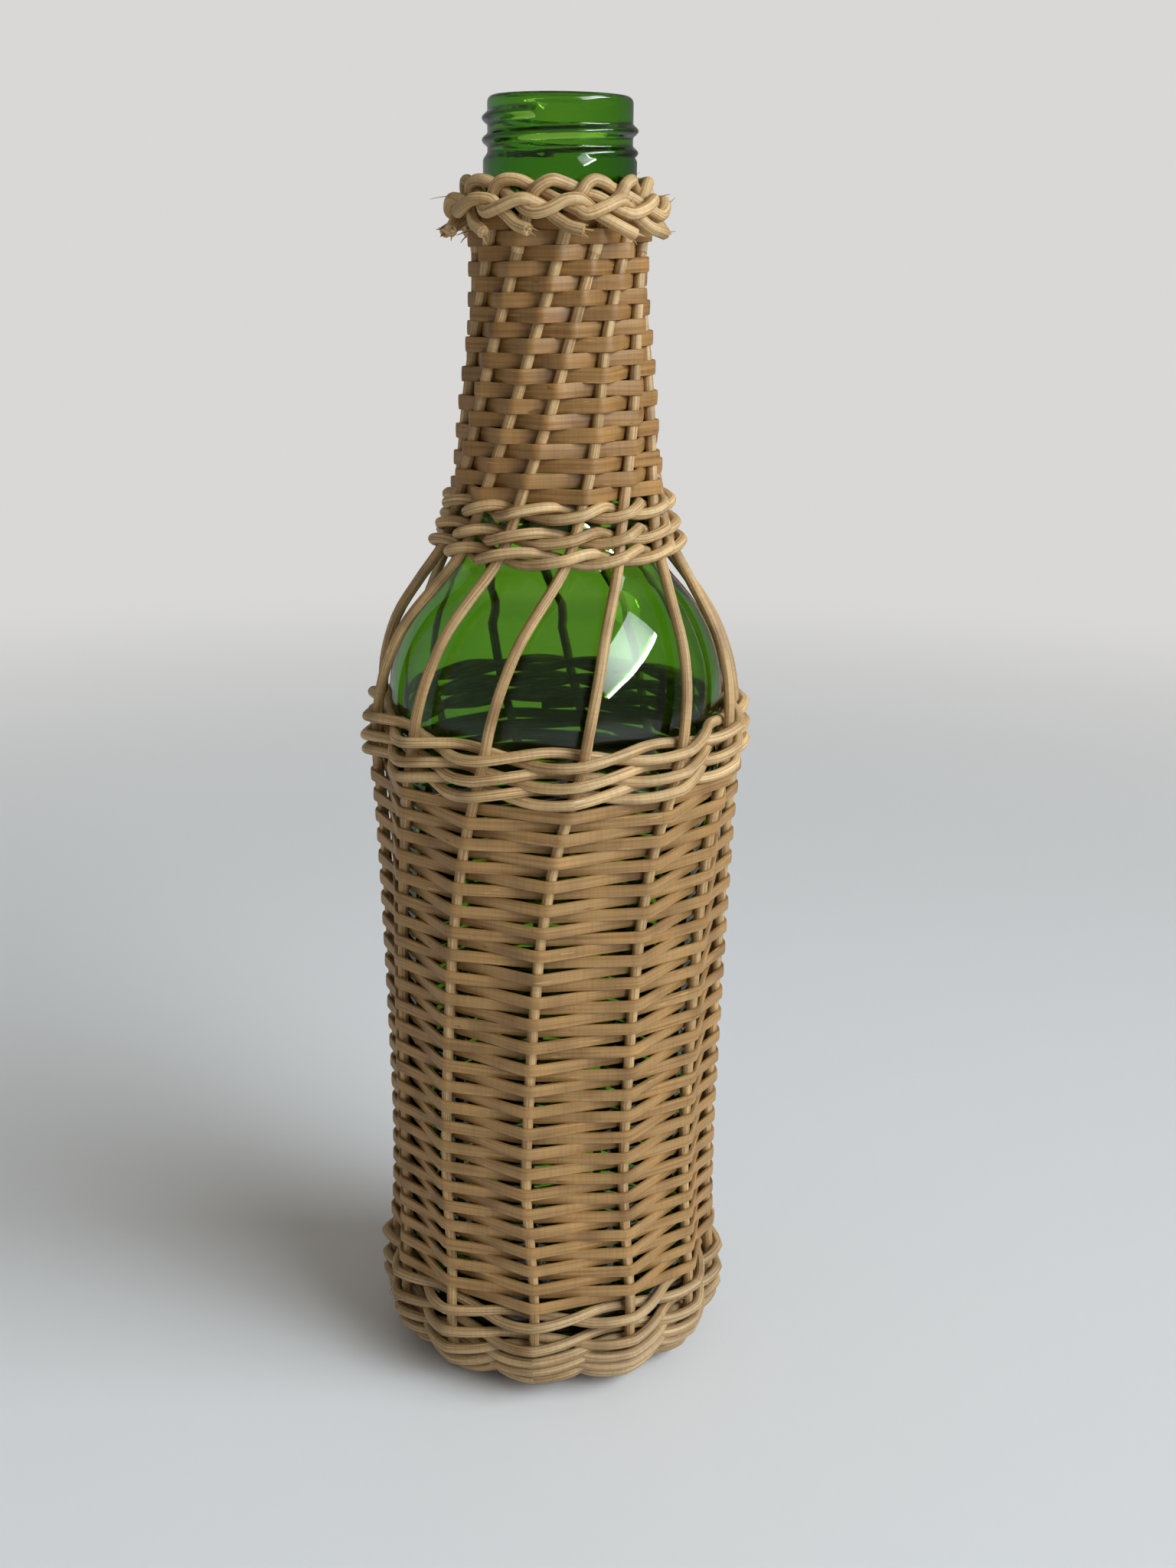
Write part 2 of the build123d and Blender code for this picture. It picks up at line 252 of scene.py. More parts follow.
# Stray fibres: thickness, sides, steps along one and size at each step
FIBRE, FIBRE_SIDES = 0.22 * MM, 5
FIBRE_STEPS, FIBRE_TAPER = (0, 0.25, 0.5, 0.75, 1), (1, 1, 0.9, 0.7, 0.4)
# Their length (mm), how far they lift and turn aside, and how far from the axis they start, as a
# share of the strand's diameter
FIBRE_REACH, FIBRE_LIFT, FIBRE_ASIDE, FIBRE_ROOT = (2, 5.5), (0.08, 0.45), 0.5, 0.44
# The same for the fibres of a cut end, which are thicker and start inside it
END_REACH, END_ASIDE, END_ROOT, END_SCALE, END_DEPTH = (1.2, 3.0), 0.4, (0.15, 0.42), 1.6, 0.6 * MM
# Strands take their grain from different stretches of the noise (metres)
GRAIN_SHIFT = 5


def fibre_run(chance, start, ahead, bend, reach, facing, thickness):
    """One fibre that leaves a strand and bends away."""
    return dict(points=[start + (ahead * t + bend * t * t) * reach for t in FIBRE_STEPS],
                facing=[facing] * len(FIBRE_STEPS), section=round_section(thickness, FIBRE_SIDES),
                scales=FIBRE_TAPER, shift=chance.uniform(0, GRAIN_SHIFT))


def stray_fibres(chance, line, facing, diameter, count):
    """Thin fibres that have split from a strand and stand off it."""
    runs = []
    for _ in range(count):
        i = chance.randrange(2, len(line) - 2)
        along = (line[i + 1] - line[i]).normalized() * chance.choice((-1, 1))
        away = facing[i].normalized()
        side = along.cross(away)
        reach = chance.uniform(*FIBRE_REACH) * MM
        bend = away * chance.uniform(*FIBRE_LIFT) + side * chance.uniform(-FIBRE_ASIDE, FIBRE_ASIDE)
        start = line[i] + away * (diameter * FIBRE_ROOT)
        runs.append(fibre_run(chance, start, along, bend, reach, away, FIBRE))
    return runs


def frayed_end(chance, line, diameter, count):
    """Fibres that stick out where a strand was cut off."""
    runs = []
    ahead = (line[-1] - line[-2]).normalized()
    side = ahead.cross(outward(line[-1])).normalized()
    up = side.cross(ahead)
    for _ in range(count):
        turn = chance.uniform(0, math.tau)
        aside = side * math.cos(turn) + up * math.sin(turn)
        start = line[-1] + aside * (diameter * chance.uniform(*END_ROOT)) - ahead * END_DEPTH
        bend = aside * chance.uniform(0, END_ASIDE)
        reach = chance.uniform(*END_REACH) * MM
        runs.append(fibre_run(chance, start, ahead, bend, reach, aside, FIBRE * END_SCALE))
    return runs


def new_object(name, data):
    """A new object in the scene."""
    obj = bpy.data.objects.new(name, data)
    bpy.context.scene.collection.objects.link(obj)
    return obj


def pick(obj):
    """Selects one object alone and makes it the active one."""
    bpy.ops.object.select_all(action="DESELECT")
    obj.select_set(True)
    bpy.context.view_layer.objects.active = obj


# Points closer than this are merged (metres)
MERGE = 0.00001


def spun(name, outline, steps, inside):
    """Spins an outline round the upright axis, closes the seam and turns its faces one way."""
    mesh = bpy.data.meshes.new(name)
    mesh.from_pydata(outline, [(i, i + 1) for i in range(len(outline) - 1)], [])
    obj = new_object(name, mesh)
    pick(obj)
    bpy.ops.object.mode_set(mode="EDIT")
    bpy.ops.mesh.select_all(action="SELECT")
    bpy.ops.mesh.spin(steps=steps, angle=math.tau, center=(0, 0, 0), axis=(0, 0, 1))
    bpy.ops.mesh.select_all(action="SELECT")
    bpy.ops.mesh.remove_doubles(threshold=MERGE)
    bpy.ops.mesh.normals_make_consistent(inside=inside)
    bpy.ops.object.mode_set(mode="OBJECT")
    return obj


# Edges sharper than this stay sharp (degrees)
SMOOTH_ANGLE = 50


def new_piece(name, mesh, material):
    """Links a finished piece: outward normals, smooth shading, its material."""
    obj = new_object(name, mesh)
    bm = bmesh.new()
    bm.from_mesh(mesh)
    bmesh.ops.recalc_face_normals(bm, faces=bm.faces)
    bm.to_mesh(mesh)
    bm.free()
    mesh.materials.append(material)
    pick(obj)
    bpy.ops.object.shade_smooth_by_angle(angle=math.radians(SMOOTH_ANGLE))
    return obj


def settle(obj, slot, *nodes):
    """The piece rides on the bottle and stands for its CAD nodes."""
    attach(obj, "root")
    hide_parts(*nodes)


# The cover's layout (degrees and mm)

# Lowest and highest height that the tables are read at for a row
LAYOUT_LOW, LAYOUT_HIGH = 16, 296
# Angle of the leading stake, right of the front, by height
STAKE_ANGLE = Track([
    (16, -6), (30, -6.2), (50, -8.4), (62, -9.3), (95, -7.6), (126, -4.7), (139, -2.4), (151, 0.3),
    (163, 4.4), (174, 8), (182, 9.8), (193, 13), (203, 17), (211, 23), (217, 28.8), (226, 35),
    (233.7, 39.8), (240.5, 44.8), (247, 49.3), (254, 53.9), (261, 58), (268, 62.4), (275, 68),
    (282, 74), (289, 80), (296, 87), (300, 93)])
# Radius of the stakes' axis, by height
STAKE_RADIUS = Track([
    (16, 43.75), (25, 43.6), (38, 42.5), (60, 42.35), (80, 42.7), (120, 43.7), (145, 44.5),
    (156, 45.2), (164, 46.1), (175, 46.3), (182, 45.9), (190, 44.4), (200, 40.65), (210, 34.3),
    (218.5, 28.9), (224.5, 26.8), (231, 25.4), (240, 23.8), (250, 22.7), (260, 21.7), (270, 20.75),
    (280, 19.95), (288, 19.8), (296, 20.2)])
# Hand-made differences in angle of each stake: low and high on the body, low and high on the neck
DRIFT = [(0, 0, 0.4, -1), (6.6, 4.5, 1, 1), (8, 4, -1, 0.5), (4.5, 2, 1, -1), (-1.5, 0, 0.5, 1.2),
         (-2, 1, -1, 0), (1, 0, 1.2, -1.5), (2, -1, 0, 1), (-1, 1, -0.8, 0.6), (0, 0, 0, 1.5),
         (-1.5, -0.5, -0.5, 3.5), (-3, -0.8, -3.8, -0.8), (-3.6, -1.9, 2.5, -3.2)]
# How much of each of the four differences counts, by height
DRIFT_BY_HEIGHT = Track([
    (16, 0.9, 0, 0, 0), (50, 1, 0, 0, 0), (150, 0, 1, 0, 0), (195, 0, 1, 0.2, 0), (222, 0, 0, 1, 0),
    (240, 0, 0, 1, 0), (268, 0, 0, 0, 1), (292, 0, 0, 0, 0.8), (300, 0, 0, 0, 0)])
# The rows hang a little lower at the front: the share of the rise that is reached, by the angle
# off the front
RISE_SHARE = Track([(0, 0), (15, 0.034), (30, 0.134), (45, 0.293), (60, 0.5), (75, 0.741),
                    (90, 0.92), (105, 1), (120, 1), (180, 1)])
# The whole rise, by height
ROW_RISE = Track([
    (4, 0), (9.5, 0.5), (14, 1.2), (18, 1.7), (24, 2.0), (60, 2.6), (100, 3.1), (140, 3.4),
    (175, 3.6), (186, 2.4), (200, 0), (214, 0.7), (219, 0.8), (225, 0.6), (231, 0.2), (240, 0)])


def stake_angle(index, z):
    """Angle of a stake, right of the front, at a height. The stakes are counted to the right."""
    drift = DRIFT[index % STAKES]
    return STAKE_ANGLE(z) + STEP * index + sum(d * w for d, w in zip(drift, DRIFT_BY_HEIGHT(z)))


def row_rise(degrees, z):
    """How far a row has climbed at an angle from the front (mm)."""
    return RISE_SHARE(abs((degrees + 180) % 360 - 180)) * ROW_RISE(z)


# Materials

# Shares of the rattan's colour: its dark, deep and pale fibres, its scars and its scratches
DARK_FIBRE, DEEP_FIBRE, PALE_FIBRE = (0.55, 0.44, 0.34), (0.80, 0.74, 0.66), (1.25, 1.32, 1.42)
# Where dark, deep, plain and pale fibres lie in the noise, off its middle, in spreads
FIBRE_SPREAD, FIBRE_PLACES = 0.10, (-1.6, -0.6, 0.2, 1.7)
SCAR_COLOUR, SCRATCH_COLOUR = (0.42, 0.27, 0.2), (1.9, 2.2, 2.9)
# Slow changes of tone along a strand, and faint rings across it
TONE_STOPS = [(0.30, (0.66, 0.60, 0.54)), (0.48, (0.97, 0.97, 0.97)), (0.72, (1.18, 1.14, 1.08))]
RING_STOPS = [(0.38, (0.90, 0.88, 0.86)), (0.55, (1, 1, 1))]
# Noise per metre along and across the strand, and its detail
TONE_NOISE, RING_NOISE = (75, 40, 1.0), (1100, 60, 2.0)
SCAR_NOISE, SCRATCH_NOISE = (170, 650, 3.0), (120, 1500, 3.0)
# How strongly scars and scratches cover the fibres, and the share of the noise that their edge takes
SCAR_COVER, SCRATCH_COVER, MARK_EDGE = 0.75, 0.6, 0.05
FIBRE_DETAIL, FIBRE_RELIEF = 3.0, 0.00025
ROUGHNESS_DOWN, ROUGHNESS_UP = 0.08, 0.12

# base and shade: a colour setting and what it is multiplied by. fibre: noise across and along,
# contrast, middle. marks: where scars and scratches begin in the noise. The last entry: the heights
# (metres) from and to which the colour changes, and what it is multiplied by below and above. On the
# round core and the stakes this is painted shade, darker towards the foot and under the base; on the
# flat cane it is the neck's own, more orange tone.
RATTAN = {
    "stake_core": dict(
        base="core_colour", shade=(0.87, 0.84, 0.79), fibre=(2300, 40, 0.78, 0.535),
        # Painted shade: the stakes darker towards the foot and under the base
        roughness=0.55, bump=0.6, marks=0.73, painted_shade_and_tone_by_height=(0.012, 0.05, (0.8, 0.8, 0.8), (1, 1, 1))),
    "round_core": dict(
        base="core_colour", shade=(1, 1, 1), fibre=(2300, 40, 0.78, 0.535),
        # Painted shade: the round core darker towards the foot and under the base
        roughness=0.55, bump=0.6, marks=0.73, painted_shade_and_tone_by_height=(0.012, 0.165, (0.73, 0.72, 0.73), (1, 1, 1))),
    "flat_cane": dict(
        base="cane_colour", shade=(1, 1, 1), fibre=(1500, 25, 0.45, 0.51),
        roughness=0.45, bump=0.2, marks=0.695, painted_shade_and_tone_by_height=(0.19, 0.21, (1, 1, 1), (0.93, 0.86, 0.76))),
}
GLASS_IOR = 1.5
# The glass isn't quite even: ripples per metre, detail, strength, height (metres)
RIPPLE_SCALE, RIPPLE_DETAIL, RIPPLE_STRENGTH, RIPPLE_HEIGHT = 55.0, 1.0, 0.25, 0.0006
MATERIALS = {}


def node_material(name):
    """A new material, its node tree and its main shader."""
    material = bpy.data.materials.new(name)
    material.use_nodes = True
    tree = material.node_tree
    return material, tree, tree.nodes["Principled BSDF"]


def add(tree, kind, **values):
    """A shader node with its properties set, and its inputs where a name starts with in_."""
    node = tree.nodes.new("ShaderNode" + kind)
    for key, value in values.items():
        if key.startswith("in_"):
            node.inputs[key[3:].replace("_", " ")].default_value = value
        else:
            setattr(node, key, value)
    return node


def ramp(tree, source, stops):
    """A colour ramp over a value, with (position, colour) stops."""
    node = add(tree, "ValToRGB")
    elements = node.color_ramp.elements
    while len(elements) < len(stops):
        elements.new(0.5)
    for element, (position, colour) in zip(elements, stops):
        element.position = position
        element.color = (*colour, 1)
    tree.links.new(source, node.inputs["Fac"])
    return node.outputs["Color"]


def rattan_material(name, base, shade, fibre, roughness, bump, marks, painted_shade_and_tone_by_height):
    """Rattan: lengthwise fibres, uneven tone, dark scars, pale scratches, and a change with height
    (painted shade at the foot of the round core and stakes, own tone on the flat cane's neck).
    """
    colour = tuple(c * f for c, f in zip(getattr(settings("cane"), base), shade))
    material, tree, shader = node_material(name)
    link = tree.links.new
    grain = add(tree, "Attribute", attribute_name="grain").outputs["Vector"]

    def stretched(along, across, detail):
        mapping = add(tree, "Mapping", in_Scale=(along, across, across))
        link(grain, mapping.inputs["Vector"])
        noise = add(tree, "TexNoise", in_Scale=1.0, in_Detail=detail)
        link(mapping.outputs["Vector"], noise.inputs["Vector"])
        return noise.outputs["Fac"]

    def blended(kind, factor, a, b):
        node = add(tree, "Mix", data_type="RGBA", blend_type=kind)
        for socket, value in (("Factor", factor), ("A", a), ("B", b)):
            if isinstance(value, float):
                node.inputs[socket].default_value = value
            elif isinstance(value, tuple):
                node.inputs[socket].default_value = (*value, 1)
            else:
                link(value, node.inputs[socket])
        return node.outputs["Result"]

    def tinted(factors):
        return tuple(min(1, c * f) for c, f in zip(colour, factors))

    def marked(noise, cover):
        return ramp(tree, stretched(*noise), [(marks, (0, 0, 0)), (marks + MARK_EDGE, (cover,) * 3)])

    across, along, contrast, middle = fibre
    fibres = stretched(along, across, FIBRE_DETAIL)
    soft = FIBRE_SPREAD / contrast
    tones = (tinted(DARK_FIBRE), tinted(DEEP_FIBRE), colour, tinted(PALE_FIBRE))
    look = ramp(tree, fibres, [(middle + p * soft, tone) for p, tone in zip(FIBRE_PLACES, tones)])
    look = blended("MULTIPLY", 1.0, look, ramp(tree, stretched(*TONE_NOISE), TONE_STOPS))
    look = blended("MULTIPLY", 1.0, look, ramp(tree, stretched(*RING_NOISE), RING_STOPS))
    look = blended("MIX", marked(SCAR_NOISE, SCAR_COVER), look, tinted(SCAR_COLOUR))
    look = blended("MIX", marked(SCRATCH_NOISE, SCRATCH_COVER), look, tinted(SCRATCH_COLOUR))
    # Painted shade on the round core and the stakes, darker towards the foot and under the base; on
    # the flat cane, the neck's own more orange tone
    start, end, below, above = painted_shade_and_tone_by_height
    split = add(tree, "SeparateXYZ")
    link(add(tree, "TexCoord").outputs["Object"], split.inputs["Vector"])
    rising = add(tree, "MapRange", in_From_Min=start, in_From_Max=end)
    link(split.outputs["Z"], rising.inputs["Value"])
    look = blended("MULTIPLY", 1.0, look, blended("MIX", rising.outputs["Result"], below, above))
    link(look, shader.inputs["Base Color"])
    rough = add(tree, "MapRange", in_To_Min=roughness - ROUGHNESS_DOWN,
                in_To_Max=roughness + ROUGHNESS_UP)
    link(fibres, rough.inputs["Value"])
    link(rough.outputs["Result"], shader.inputs["Roughness"])
    raised = add(tree, "Bump", in_Strength=bump, in_Distance=FIBRE_RELIEF)
    link(fibres, raised.inputs["Height"])
    link(raised.outputs["Normal"], shader.inputs["Normal"])
    return material


def glass_material():
    """Clear glass that turns green with its thickness."""
    values = settings("glass")
    material, tree, shader = node_material("green_glass")
    shader.inputs["Base Color"].default_value = (*values.tint, 1)
    shader.inputs["Transmission Weight"].default_value = 1.0
    shader.inputs["IOR"].default_value = GLASS_IOR
    shader.inputs["Roughness"].default_value = 0.0
    coords = add(tree, "TexCoord").outputs["Object"]
    ripple = add(tree, "TexNoise", in_Scale=RIPPLE_SCALE, in_Detail=RIPPLE_DETAIL)
    tree.links.new(coords, ripple.inputs["Vector"])
    waves = add(tree, "Bump", in_Strength=RIPPLE_STRENGTH, in_Distance=RIPPLE_HEIGHT)
    tree.links.new(ripple.outputs["Fac"], waves.inputs["Height"])
    tree.links.new(waves.outputs["Normal"], shader.inputs["Normal"])
    absorb = add(tree, "VolumeAbsorption", in_Density=values.density,
                 in_Color=(*values.body_colour, 1))
    output = tree.nodes["Material Output"]
    tree.links.new(absorb.outputs["Volume"], output.inputs["Volume"])
    return material


def finish_of(name):
    """The shared material of a finish, made when first asked for."""
    if name not in MATERIALS:
        if name == "green_glass":
            MATERIALS[name] = glass_material()
        else:
            MATERIALS[name] = rattan_material(name, **RATTAN[name])
    return MATERIALS[name]


def rattan_piece(name, runs, finish, slot, node):
    """Strands in one finish that stand for one CAD node."""
    settle(new_piece(name, strand_mesh(name, runs), finish_of(finish)), slot, node)


# The glass (mm and degrees)

GLASS_FOOT, GLASS_TOP = (c.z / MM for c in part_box("glass_bottle"))
HEEL_R, HEEL_ROUND, SHOULDER_R, SHOULDER_Z = 39.7, 8.0, 42.6, GLASS_FOOT + 172
# The body is straight up to here, and widens from here to the shoulder
STRAIGHT_TOP, FLARE_FOOT = GLASS_FOOT + 56, GLASS_FOOT + 68
SHOULDER_TURN, NECK_TAPER = 43.7, 5.6
NECK_R, NECK_Z = 15.9, GLASS_TOP - 34.6
COLLAR_R, COLLAR_FOOT, COLLAR_TOP, ROOT_R = 18.25, GLASS_TOP - 27.6, GLASS_TOP - 13.9, 17.2
WALL, NECK_WALL, BORE_R, BORE_FOOT = 3.0, 2.2, 13.7, GLASS_TOP - 32.5
LIP_ROUND, MOUTH_ROUND, INNER_HEEL = 1.6, 1.2, 6
# The pushed-up base: share of its radius, and height over the foot, outside and inside
PUSH_UP_OUTSIDE = [(0, 5), (0.35, 4.6), (0.7, 3.0), (0.9, 1.3), (1, 0.2)]
PUSH_UP_INSIDE = [(0.9, 5.4), (0.7, 7.6), (0.35, 9.5), (0, 10)]
# The screw thread: how far it stands out, its pitch, its start under the lip and half its width
THREAD_ROUND, THREAD_PITCH, THREAD_START, THREAD_HALF_WIDTH = 1.3, 4.9, 4.2, 1.55
# Its first angle, and in quarter turns its length and what its start and its end take to grow
THREAD_ANGLE, THREAD_QUARTERS, THREAD_LEAD, THREAD_FADE = -109.5, 8.5, 0.35, 1.2
# How much of the lead lies before the first angle, and the power that narrows the thread's crest
THREAD_EARLY, THREAD_POWER = 0.25, 1.3
# It rises from the outer glass, down to a little under the collar's top
THREAD_ZONE_IN, THREAD_ZONE_UNDER = 0.3, 0.5


def glass_profile():
    """Half section of the bottle, from the middle of the base, up outside, down inside."""
    turn, taper = math.radians(SHOULDER_TURN), math.radians(NECK_TAPER)
    # The shoulder's arc ends at (ex, ez). The throat's arc starts there, and its middle is (sx, sz).
    ex, ez = SHOULDER_R * math.cos(turn), SHOULDER_Z + SHOULDER_R * math.sin(turn)
    reach = (ex - NECK_R) * math.cos(taper) + (ez - NECK_Z) * math.sin(taper)
    sweep = reach / (1 - math.cos(turn - taper))
    sx, sz = ex + sweep * math.cos(turn), ez + sweep * math.sin(turn)
    edge = HEEL_R - HEEL_ROUND - 3
    outside = [(edge * share, GLASS_FOOT + height) for share, height in PUSH_UP_OUTSIDE]
    outside += [(edge + 1.5, GLASS_FOOT)]
    outside += arc_points(HEEL_R - HEEL_ROUND, GLASS_FOOT + HEEL_ROUND, HEEL_ROUND, -90, 0, 8)
    outside += line_points((HEEL_R, GLASS_FOOT + HEEL_ROUND + 2), (HEEL_R, STRAIGHT_TOP), 5)
    outside += line_points((HEEL_R + 0.3, FLARE_FOOT), (SHOULDER_R - 0.15, SHOULDER_Z - 6), 8)
    outside += arc_points(0, SHOULDER_Z, SHOULDER_R, 0, SHOULDER_TURN, 14)
    outside += arc_points(sx, sz, sweep, 180 + SHOULDER_TURN, 180 + NECK_TAPER, 12)[1:]
    outside += line_points(outside[-1], (NECK_R, NECK_Z), 10)[1:]
    outside += arc_points(NECK_R + 1.5, NECK_Z + 1.0, 1.2, 195, 150, 2)
    outside += [(COLLAR_R - 0.7, COLLAR_FOOT - 0.9), (COLLAR_R - 0.15, COLLAR_FOOT - 0.2)]
    outside += line_points((COLLAR_R, COLLAR_FOOT + 0.6), (COLLAR_R, COLLAR_TOP - 0.7), 6)
    outside += [(COLLAR_R - 0.12, COLLAR_TOP - 0.3), (COLLAR_R - 0.5, COLLAR_TOP + 0.3),
                (ROOT_R + 0.12, COLLAR_TOP + 0.9)]
    outside += line_points((ROOT_R, COLLAR_TOP + 1.3), (ROOT_R, GLASS_TOP - 1.8), 40)
    outside += arc_points(ROOT_R - LIP_ROUND, GLASS_TOP - LIP_ROUND, LIP_ROUND, 8, 90, 6)
    inside = arc_points(BORE_R + MOUTH_ROUND, GLASS_TOP - MOUTH_ROUND, MOUTH_ROUND, 95, 180, 5)
    inside += line_points((BORE_R, GLASS_TOP - 2.5), (BORE_R, BORE_FOOT), 8)
    inside += [(BORE_R + 0.05, GLASS_TOP - 35)]
    foot = (sx - sweep * math.cos(taper) - NECK_WALL, sz - sweep * math.sin(taper))
    inside += line_points((BORE_R + 0.3, GLASS_TOP - 38), foot, 10)
    inside += arc_points(sx, sz, sweep + NECK_WALL, 180 + NECK_TAPER, 180 + SHOULDER_TURN, 12)[1:-1]
    inside += arc_points(0, SHOULDER_Z, SHOULDER_R - WALL, SHOULDER_TURN - 4, 0, 12)
    inside += line_points((SHOULDER_R - WALL - 0.15, SHOULDER_Z - 6),
                          (HEEL_R - WALL + 0.3, FLARE_FOOT), 8)
    inside += line_points((HEEL_R - WALL, STRAIGHT_TOP), (HEEL_R - WALL, GLASS_FOOT + 13), 5)
    inside += arc_points(HEEL_R - WALL - INNER_HEEL, GLASS_FOOT + 11, INNER_HEEL, 0, -90, 8)
    inside += [(edge * share, GLASS_FOOT + height) for share, height in PUSH_UP_INSIDE]
    return outside + inside


def thread_rise(angle, z):
    """How far the screw thread stands out of the neck at an angle (degrees) and height (mm)."""
    best = 0.0
    for turn in range(3):
        quarters = ((THREAD_ANGLE - angle) % 360) / 90 + 4 * turn
        if quarters > THREAD_QUARTERS:
            continue
        line = GLASS_TOP - THREAD_START - THREAD_PITCH * quarters / 4
        ends = min(1.0, (quarters + THREAD_EARLY) / THREAD_LEAD)
        ends *= min(1.0, max(0.0, (THREAD_QUARTERS - quarters) / THREAD_FADE))
        away = abs(z - line) / THREAD_HALF_WIDTH
        if away < 1:
            best = max(best, THREAD_ROUND * ends * math.cos(away * math.pi / 2) ** THREAD_POWER)
    return best


class WICKER_OT_glass(bpy.types.Operator):
    """Spins the glass bottle and raises its screw thread"""
    bl_idname = "wicker.glass"
    bl_label = "Glass Bottle"

    def execute(self, context):
        outline = [Vector((r, 0, z)) * MM for r, z in glass_profile()]
        obj = spun("glass", outline, settings("glass").segments, inside=False)
        for v in obj.data.vertices:
            r = math.hypot(v.co.x, v.co.y) / MM
            z = v.co.z / MM
            if r > ROOT_R - THREAD_ZONE_IN and z > COLLAR_TOP - THREAD_ZONE_UNDER:
                rise = thread_rise(math.degrees(math.atan2(v.co.y, v.co.x)), z)
                grown = max(r, min(r, ROOT_R) + rise) / r
                v.co.x *= grown
                v.co.y *= grown
        obj.data.materials.append(finish_of("green_glass"))
        pick(obj)
        bpy.ops.object.shade_smooth()
        settle(obj, "green_glass", "glass_bottle")
        return {"FINISHED"}


# Stakes and border (mm and degrees)

# Under the bottle the stakes lie flat, and from HEEL_X out they bend up round the heel, in steps
FLAT_Z, HEEL_X, HEEL_Z, HEEL_BEND, HEEL_STEP = 3.85, 31.7, 15.9, 12.05, 15
FLAT_RADII = (14.6, 20, 26, HEEL_X)
# Height between two points of a stake's axis, and the sides of a round strand
STAKE_SPACING, ROUND_SIDES = 3.0, 12
# Where the first end begins, how far the border sits off the axis, how much thicker its strands are
# than a stake, and how much of the facing is up
BORDER_ANGLE, BORDER_SHIFT, BORDER_SCALE, BORDER_UP = 95.5, Vector((-0.7, 0, 0)) * MM, 1.1, 0.35
# By how much its points vary, in mm and in stakes, and how far the cut ends go on
BORDER_SCATTER, BORDER_TURN, BORDER_TAIL = 0.2, 0.03, (0.5, 3.0)
# The grain of an end goes on from its stake's. Seeds of the ends and of their loose fibres.
END_GRAIN, END_SEED, LOOSE_SEED = 0.4, 5, 31
# One stake's bent end: stakes passed to the right, radius, height
BORDER_PATH = [(-0.1, 20.9, 299.6), (0.06, 21.8, 302.0), (0.2, 22, 303.8), (0.42, 21.6, 304.8),
               (0.68, 20.6, 304.4), (0.95, 19.85, 303.2), (1.22, 20, 302.1), (1.48, 21.2, 301.1),
               (1.72, 22.4, 299.8), (1.93, 23.9, 298.3), (2.15, 25.2, 297.5), (2.45, 25.7, 298.7),
               (2.72, 25.4, 300.3), (2.92, 24.7, 300.7), (3.12, 23.6, 300.0), (3.3, 22.8, 298.6),
               (3.5, 23.5, 296.8), (3.75, 24.8, 295.0), (3.95, 25.6, 294.0)]
# Ends that stand for the lower row of the border, and the loose fibres on each end
LOWER_ENDS, END_FIBRES, SIDE_FIBRES = 7, 5, 2


def stake_points(index):
    """Axis of one stake, from under the bottle up to the border's foot."""
    foot = stake_angle(index, LAYOUT_LOW)
    points = [around(r, foot, FLAT_Z) for r in FLAT_RADII]
    for a in range(HEEL_STEP, 90, HEEL_STEP):
        points.append(around(HEEL_X + HEEL_BEND * math.sin(math.radians(a)), foot,
                             HEEL_Z - HEEL_BEND * math.cos(math.radians(a))))
    z = HEEL_Z
    while z < LAYOUT_HIGH:
        points.append(around(STAKE_RADIUS(z), stake_angle(index, z), z))
        z += STAKE_SPACING
    return points


def border_end(chance, index, upright):
    """Axis of one stake's end, bent down to the right, over and under its neighbours."""
    def scatter():
        return chance.uniform(-BORDER_SCATTER, BORDER_SCATTER)

    start = BORDER_ANGLE + STEP * index
    bent = upright[-3:]
    for passed, r, z in BORDER_PATH:
        bent.append(around(
            r + scatter(), start + STEP * (passed + chance.uniform(-BORDER_TURN, BORDER_TURN)),
            z + scatter()) + BORDER_SHIFT)
    last = bent[-1] - bent[-2]
    bent.append(bent[-1] + last.normalized() * chance.uniform(*BORDER_TAIL) * MM)
    return curve_through(bent, 4)


class WICKER_OT_stakes(bpy.types.Operator):
    """Bends the thirteen uprights and plaits their ends into the border"""
    bl_idname = "wicker.stakes"
    bl_label = "Stakes and Border"

    def execute(self, context):
        stake = settings("cane").stake
        chance, loose = random.Random(END_SEED), random.Random(LOOSE_SEED)
        section = round_section(stake, ROUND_SIDES)
        ends = []
        for index in range(STAKES):
            upright = stake_points(index)
            shift = chance.uniform(0, GRAIN_SHIFT)
            name = f"upright_{index + 1:02d}"
            run = dict(points=upright, facing=[outward(p) for p in upright], section=section,
                       shift=shift)
            rattan_piece(name, [run], "stake_core", "round_core", f"stake_{index + 1:02d}")
            line = border_end(chance, index, upright)
            facing = [(outward(p) + Vector((0, 0, BORDER_UP))).normalized() for p in line]
            ends.append([dict(points=line, facing=facing, section=section,
                              shift=shift + END_GRAIN, scales=[BORDER_SCALE] * len(line))]
                        + frayed_end(loose, line, stake * BORDER_SCALE, END_FIBRES)
                        + stray_fibres(loose, line, facing, stake * BORDER_SCALE, SIDE_FIBRES))
        for name, part, node in (("border_plait_a", ends[:LOWER_ENDS], "border_lower"),
                                 ("border_plait_b", ends[LOWER_ENDS:], "border_upper")):
            rattan_piece(name, sum(part, []), "round_core", "round_core", node)
        return {"FINISHED"}


# Flat cane (mm and degrees)

# Height of the middle of the cane, by the share of its crossings
BODY_CLIMB = Track([(0, 26.7), (0.18, 49.0), (0.35, 71.4), (0.52, 94.9), (0.69, 119.2),
                    (0.86, 143.4), (1, 162.8)])
NECK_CLIMB = Track([(0, 232.1), (1, 298.2)])
